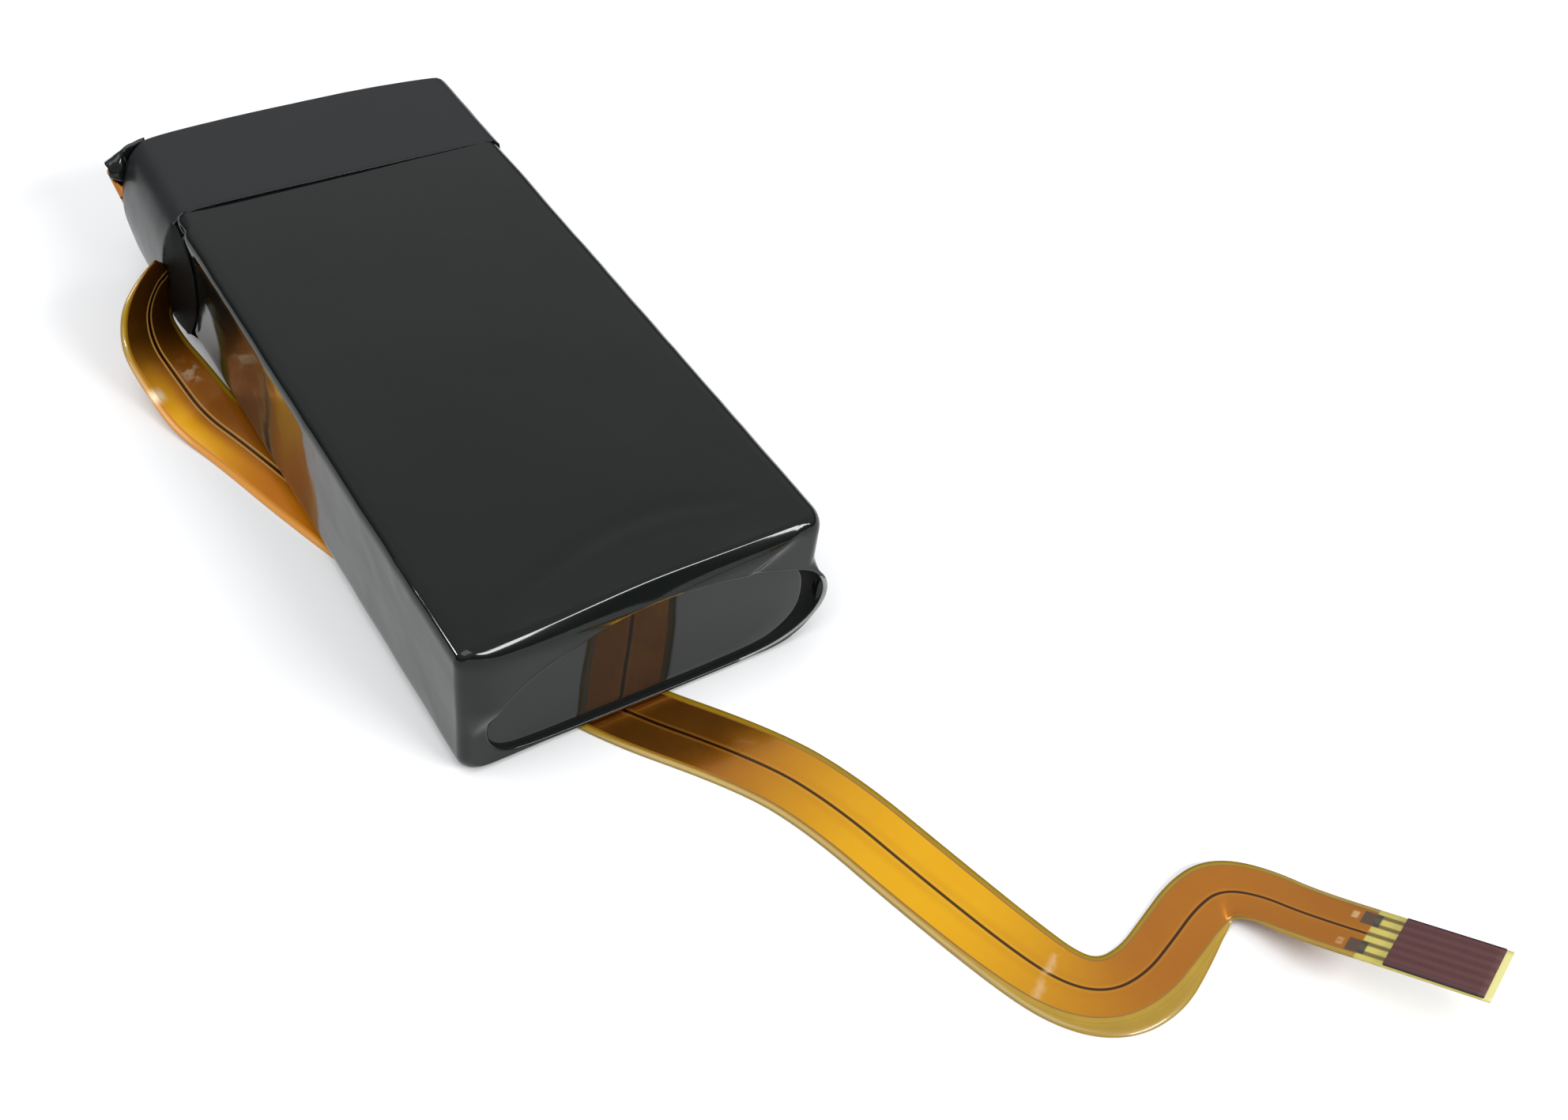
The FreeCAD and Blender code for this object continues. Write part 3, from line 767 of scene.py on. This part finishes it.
def shoulder_ring(row, body, full, mouth):
    """The film's turn from the sides to the front: wide at the right ear, leaning out at the top."""
    ring = []
    for (x, y, z), (fx, fz), (mx, mz) in zip(body, full, mouth):
        left, over = leftward(fx), overhang(fx, fz)
        ear = ease((fx - 12.5) / 4.2) * (1 - over)
        deep = 0.65 + 0.35 * left + 1.7 * ear
        start = FRONT + (0.45 - 0.6 * left) * over + deep
        reach = max(math.hypot(mx - fx, mz - fz), 0.05)
        wide = min(0.65 + 0.35 * left + 0.9 * ear, reach * 0.9)
        angle = math.radians(90 - 29 * over) * row / SHOULDER_ROWS
        t = wide * (1 - math.cos(angle)) / reach
        settle = ease(row / 5)
        x, z = x + (fx - x) * settle, z + (fz - z) * settle
        y = min(start - deep * math.sin(angle), y - 0.02 * row)
        ring.append((x + (mx - fx) * t, y, z + (mz - fz) * t))
    return ring


def face_ring(t, shoulder, full, mouth):
    """The film's front, this share of the way from the shoulder to the mouth's rim."""
    ring = []
    for (x, y, z), (fx, fz), (mx, mz) in zip(shoulder, full, mouth):
        out = FRONT - (0.28 + 0.5 * leftward(fx)) * overhang(fx, fz)
        power = max(1.0, 0.554 * math.hypot(mx - x, mz - z) / max(y - out, 0.05))
        share = 1 - (1 - t) ** min(power, 5.0)
        ring.append((x + (mx - x) * t, y + (out - y) * share, z + (mz - z) * t))
    return ring


def sleeve_rings():
    """All of the sleeve's rings, and which one is the mouth's rim."""
    full = rounded_ring(SLEEVE_SIDE, 0.2, SLEEVE_TOP, 1.25, 1.9)
    lip = rounded_ring(16.65, 0.55, 14.65, 2.2, 2.2)
    mouth = smoothed(matched(MOUTH_LINE, full), 18)
    half_way = [between(a, b, 0.5) for a, b in zip(full, lip)]
    # the rear end is tucked in under the band
    rings = [[(x, BAND_FRONT + back, z) for x, z in ring]
             for ring, back in ((lip, 2.4), (lip, 1.0), (half_way, 0.6))]
    close_start = SLEEVE_START - WIDE_ROWS * WIDE_STEP
    rings += [body_ring(full, SLEEVE_START - WIDE_STEP * k) for k in range(WIDE_ROWS)]
    rings += [body_ring(full, close_start - CLOSE_STEP * k) for k in range(CLOSE_ROWS)]
    body = rings[-1]
    rings += [shoulder_ring(j, body, full, mouth) for j in range(1, SHOULDER_ROWS + 1)]
    shoulder = rings[-1]
    rings += [face_ring(j / FACE_ROWS, shoulder, full, mouth) for j in range(1, FACE_ROWS + 1)]
    rim = len(rings) - 1

    def inwards(share):
        return [(x + (MOUTH_X - x) * share, y, z + (MOUTH_Z - z) * share * 1.4) for x, y, z in rings[rim]]

    for depth, share in ((-0.02, 0.012), (0.06, 0.024), (0.4, 0.028)):
        rings.append([(x, y + depth, z) for x, y, z in inwards(share)])
    for depth, share in ((1.0, 0.05), (1.12, 0.12), (1.15, 0.5)):
        rings.append([(x, FRONT + depth, z) for x, _, z in inwards(share)])
    return rings, rim


rings, rim = sleeve_rings()
points, faces = loft(rings)
sleeve = mesh("shrink_sleeve", points, faces, FILM)
sleeve.data.materials.append(EDGE)
sleeve.data.materials.append(INNER)
for polygon in sleeve.data.polygons:
    row = polygon.index // RING
    x, z = polygon.center.x / MM, polygon.center.z / MM
    if rim <= row <= rim + 1 and x > 9.5 and z < 7.5:
        polygon.material_index = 1  # the film's cut edge shows pale low on the right
    if row > rim + 1:
        polygon.material_index = 2
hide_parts("heat_shrink_sleeve")

# ---------------------------------------------------------------- front plate

PLATE_FACE = FRONT + 0.42
PLATE_MIDDLE_Z = 7.2
PLATE_LINE = [
    (0.0, 14.2), (7.0, 14.1), (11.0, 12.9), (13.6, 10.9), (15.2, 8.6), (15.6, 6.2), (15.3, 4.2), (14.1, 2.7),
    (12.3, 1.7), (10.3, 1.0), (6.0, 0.78), (0.0, 0.75), (-8.0, 0.75), (-14.2, 0.8), (-15.9, 1.6),
    (-16.1, 5.0), (-16.1, 10.0), (-15.7, 13.2), (-13.0, 14.1), (-7.0, 14.2),
]
# how much of the outline's size each ring has, and how far it lies behind the plate's face
PLATE_ROWS = ((1.0, 0.55), (1.0, 0.12), (0.994, 0.03), (0.98, 0.0), (0.8, 0.0), (0.5, 0.02), (0.2, 0.03))


def plate_rings():
    outline = even(through(PLATE_LINE, 10, True), 160)
    return [[(x * scale, PLATE_FACE + depth, PLATE_MIDDLE_Z + (z - PLATE_MIDDLE_Z) * scale)
             for x, z in outline] for scale, depth in PLATE_ROWS]


points, faces = loft(plate_rings(), cap_last=True)
plate = mesh("end_plate", points, faces, PLATE)
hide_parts("front_end_plate")

# ---------------------------------------------------------------- tape band

# The band's outline at its front and at its rear, with the right side and the underside in common.
BAND_LOW = [(17.2, 8.0), (17.2, 1.6), (16.8, 0.5), (15.6, 0.03), (8.0, 0.03), (0.0, 0.03), (-8.0, 0.03),
            (-15.6, 0.03)]
BAND_FRONT_LINE = [
    (0.0, 15.17), (8.0, 15.1), (15.6, 14.98), (16.85, 14.6), (17.2, 13.6), *BAND_LOW,
    (-16.9, 0.5), (-17.7, 1.9), (-18.55, 4.4), (-18.7, 7.2), (-18.5, 10.4), (-17.85, 12.7), (-16.4, 14.5),
    (-14.6, 15.1), (-8.0, 15.2),
]
BAND_REAR_LINE = [
    (0.0, 15.5), (8.0, 15.42), (15.6, 14.95), (16.9, 14.5), (17.25, 13.5), *BAND_LOW,
    (-16.8, 0.4), (-17.4, 1.6), (-18.0, 4.6), (-18.35, 7.6), (-18.1, 10.2), (-17.3, 12.7), (-15.9, 14.4),
    (-14.0, 15.05), (-7.0, 15.42),
]
BAND_MIDDLE_Z = 7.5
BAND_ROWS = 26
# how far in and how far back each ring of the front edge lies, then of the rear edge, which turns in
BAND_FRONT_EDGE = ((0.16, 0.8), (0.14, 0.1), (0.10, 0.0), (0.03, 0.0), (0.0, 0.06))
BAND_REAR_EDGE = ((0.0, -0.6), (0.03, -0.3), (0.12, -0.1), (0.25, -0.02), (0.4, -0.06), (0.5, -0.4))


def band_rings():
    front = even(through(BAND_FRONT_LINE, 12, True), RING)
    rear = even(through(BAND_REAR_LINE, 12, True), RING)

    def at(share, inset, y):
        ring = []
        for a, b in zip(front, rear):
            x, z = between(a, b, share)
            lift = 0.05 * wobble(x, y, z, 6.0, 3.0) + 0.02 * wobble(x, y, z, 2.0, 8.0)
            scale = 1 - (inset - lift) / math.hypot(x, z - BAND_MIDDLE_Z)
            ragged = 0.05 * wobble(x, z, 0, 5.0, 2.0) if y < BAND_FRONT + 0.4 else 0.0
            z = BAND_MIDDLE_Z + (z - BAND_MIDDLE_Z) * scale
            ring.append((x * scale, y + ragged, max(z, 0.02)))
        return ring

    rings = [at(0, inset, BAND_FRONT + back) for inset, back in BAND_FRONT_EDGE]
    for k in range(1, BAND_ROWS):
        t = k / BAND_ROWS
        rings.append(at(ease(t) * 0.3 + t * 0.7, 0.0, BAND_FRONT + 0.1 + 13.0 * t))
    return rings + [at(1, inset, REAR + back) for inset, back in BAND_REAR_EDGE]


points, faces = loft(band_rings())
band = mesh("tape_band", points, faces, TAPE)
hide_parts("rear_tape_band")

# ---------------------------------------------------------------- tongue of tape

TONGUE_LEFT = [(-17.2, 24.3, 14.2), (-18.0, 24.25, 12.5), (-18.3, 24.1, 10.5), (-18.4, 24.0, 8.0),
               (-18.8, 23.9, 5.2), (-18.3, 23.8, 3.2), (-17.6, 23.6, 1.6)]
TONGUE_RIGHT = [(-17.0, 23.6, 14.35), (-17.1, 21.2, 13.9), (-17.15, 19.9, 12.6), (-17.15, 19.5, 10.2),
                (-17.15, 20.1, 7.4), (-17.2, 21.4, 4.6), (-17.4, 23.4, 1.5)]
TONGUE_COLUMNS = 12


def tongue_rings():
    """Rows from the tongue's left edge to its right edge, with the same row again 0.1 mm inside."""
    rings = []
    for a, b in zip(through(TONGUE_LEFT, 6), through(TONGUE_RIGHT, 6)):
        line = []
        for k in range(TONGUE_COLUMNS + 1):
            t = k / TONGUE_COLUMNS
            sag = 0.10 * math.sin(math.pi * t) + 0.05 * wobble(a[2], 4 * t, 0, 2.0, 4.0)
            x, y, z = between(a, b, t)
            line.append((x - sag, y, z))
        rings.append(line + [(x + 0.1, y, z) for x, y, z in line[::-1]])
    return rings


points, faces = loft(tongue_rings(), True, True)
tongue = mesh("tape_tongue", points, faces, INNER)
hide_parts("side_tape_tongue")

# ---------------------------------------------------------------- the film's corner at the rear left

FLAP_COLUMNS = 16
FLAP_ROWS = 10


def flap_rings():
    """Columns from the film's rear towards -x, each from its top edge down, and again 0.1 mm behind."""
    rings = []
    for k in range(FLAP_COLUMNS + 1):
        t = k / FLAP_COLUMNS
        x = -14.9 - 4.2 * t
        top = 14.75 - 1.75 * t + 0.22 * math.sin(math.pi * t) + 0.10 * wobble(x, 0, 0, 0.9)
        low = 10.2 + 1.3 * t ** 4 - 0.2 * math.sin(2 * math.pi * t)
        outer_half = ease((t - 0.5) / 0.2)
        front = 38.05 - 0.32 * outer_half
        line = [(x, 38.6, top - 0.5), (x, 38.45, top - 0.12)]
        for j in range(FLAP_ROWS + 1):
            u = j / FLAP_ROWS
            crown = math.sin(math.pi * u) ** 0.7 * outer_half * (1 - 0.4 * t ** 4)
            lump = 0.45 * wobble(x, u * 4, 0, 0.8, 7.0)
            y = front + 0.35 * (1 - u) ** 3 - (0.75 + lump) * crown
            line.append((x, y, top + (low - top) * u))
        rings.append(line + [(x, y + 0.1, z) for x, y, z in line[::-1]])
    return rings


points, faces = loft(flap_rings(), True, True)
flap = mesh("corner_film", points, faces, FILM)
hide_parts("rear_corner_flap")

# ---------------------------------------------------------------- pieces shown as they were packed

# each slot's darker and lighter tone, and its range of roughness where that isn't plain()'s own
WORN = {
    "fuse_body": ((0.02, 0.02, 0.02), (0.05, 0.05, 0.05)),
    "circuit_board": ((0.010, 0.06, 0.025), (0.02, 0.10, 0.04)),
    "chip_body": ((0.010, 0.010, 0.010), (0.022, 0.022, 0.022)),
    "capacitor_ceramic": ((0.26, 0.17, 0.09), (0.36, 0.25, 0.14)),
    "insulating_paper": ((0.14, 0.20, 0.11), (0.20, 0.27, 0.16), (0.6, 0.8)),
    "anode": ((0.008, 0.008, 0.008), (0.02, 0.02, 0.02), (0.6, 0.8)),
    "cathode": ((0.012, 0.012, 0.014), (0.03, 0.03, 0.032), (0.6, 0.8)),
    "separator_film": ((0.74, 0.74, 0.72), (0.85, 0.85, 0.83), (0.5, 0.7)),
    "sealant_film": ((0.45, 0.38, 0.22), (0.56, 0.49, 0.32)),
    "foam_pad": ((0.62, 0.62, 0.58), (0.75, 0.75, 0.71), (0.6, 0.8)),
}
METAL = {
    "nickel": ((0.45, 0.43, 0.40), (0.62, 0.60, 0.56), (0.25, 0.4)),
    "solder": ((0.5, 0.5, 0.5), (0.7, 0.7, 0.7), (0.2, 0.4)),
    "aluminium_tab": ((0.6, 0.6, 0.6), (0.75, 0.75, 0.75), (0.25, 0.4)),
    "gold_contacts": ((0.62, 0.40, 0.12), (0.78, 0.55, 0.20), (0.2, 0.35)),
}
FINISH = {name: plain(name, *look) for name, look in WORN.items()}
FINISH |= {name: plain(name, *look, Metallic=1.0) for name, look in METAL.items()}
FINISH["pouch_foil"] = plain("pouch_foil", (0.5, 0.5, 0.51), (0.62, 0.62, 0.63), (0.3, 0.5), Metallic=0.9)
FINISH["shrink_film"] = FILM

slots = {part["node"]: part["material_slot"] for part in frame["record"]["subparts"]}
for node, obj in frame["nodes"].items():
    if not obj.hide_render:
        obj.data.materials.clear()
        obj.data.materials.append(FINISH[slots[node]])

# ---------------------------------------------------------------- floor and light, in metres

FLOOR_HALF = 3.0
FLOOR_Z = -0.00002
AIM = Vector((0, -0.02, 0))

floor_shader = Shader("floor")
floor_tone = floor_shader.noise(6.0, 2.0)
floor_shader.set(Base_Color=floor_shader.mix(floor_tone, (0.72, 0.72, 0.72), (0.74, 0.74, 0.74)),
                 Roughness=0.7)
floor_data = bpy.data.meshes.new("floor")
floor_corners = [(x * FLOOR_HALF, y * FLOOR_HALF, FLOOR_Z)
                 for x, y in ((-1, -1), (1, -1), (1, 1), (-1, 1))]
floor_data.from_pydata(floor_corners, [], [(0, 1, 2, 3)])
floor_data.materials.append(floor_shader.material)
floor = bpy.data.objects.new("floor", floor_data)
bpy.context.scene.collection.objects.link(floor)

# a plain room: dim near the horizon, lighter above
world = bpy.data.worlds.new("world")
world.use_nodes = True
nodes, links = world.node_tree.nodes, world.node_tree.links
direction = nodes.new("ShaderNodeTexCoord")
height = nodes.new("ShaderNodeSeparateXYZ")
ramp = nodes.new("ShaderNodeValToRGB")
links.new(direction.outputs["Generated"], height.inputs[0])
links.new(height.outputs[2], ramp.inputs[0])
links.new(ramp.outputs[0], nodes["Background"].inputs["Color"])
ramp.color_ramp.interpolation = "EASE"
low_stop, high_stop = ramp.color_ramp.elements
low_stop.position = 0.10
low_stop.color = (0.10, 0.105, 0.11, 1)
high_stop.position = 0.62
high_stop.color = (0.785, 0.80, 0.82, 1)
bpy.context.scene.world = world
bpy.context.scene.view_settings.view_transform = "Standard"


def area(name, place, size, watts):
    """A rectangle of light that faces the pack."""
    data = bpy.data.lights.new(name, "AREA")
    data.shape = "RECTANGLE"
    data.size, data.size_y = size
    data.energy = watts
    obj = bpy.data.objects.new(name, data)
    obj.location = place
    obj.rotation_mode = "QUATERNION"
    obj.rotation_quaternion = (AIM - Vector(place)).to_track_quat("-Z", "Y")
    bpy.context.scene.collection.objects.link(obj)


area("key", (0.34, -0.73, 0.55), (0.46, 0.14), 7)
area("top", (-0.5, -0.1, 1.4), (1.2, 1.2), 15)
area("side", (-0.476, 0.316, 0.170), (0.03, 0.05), 0.35)
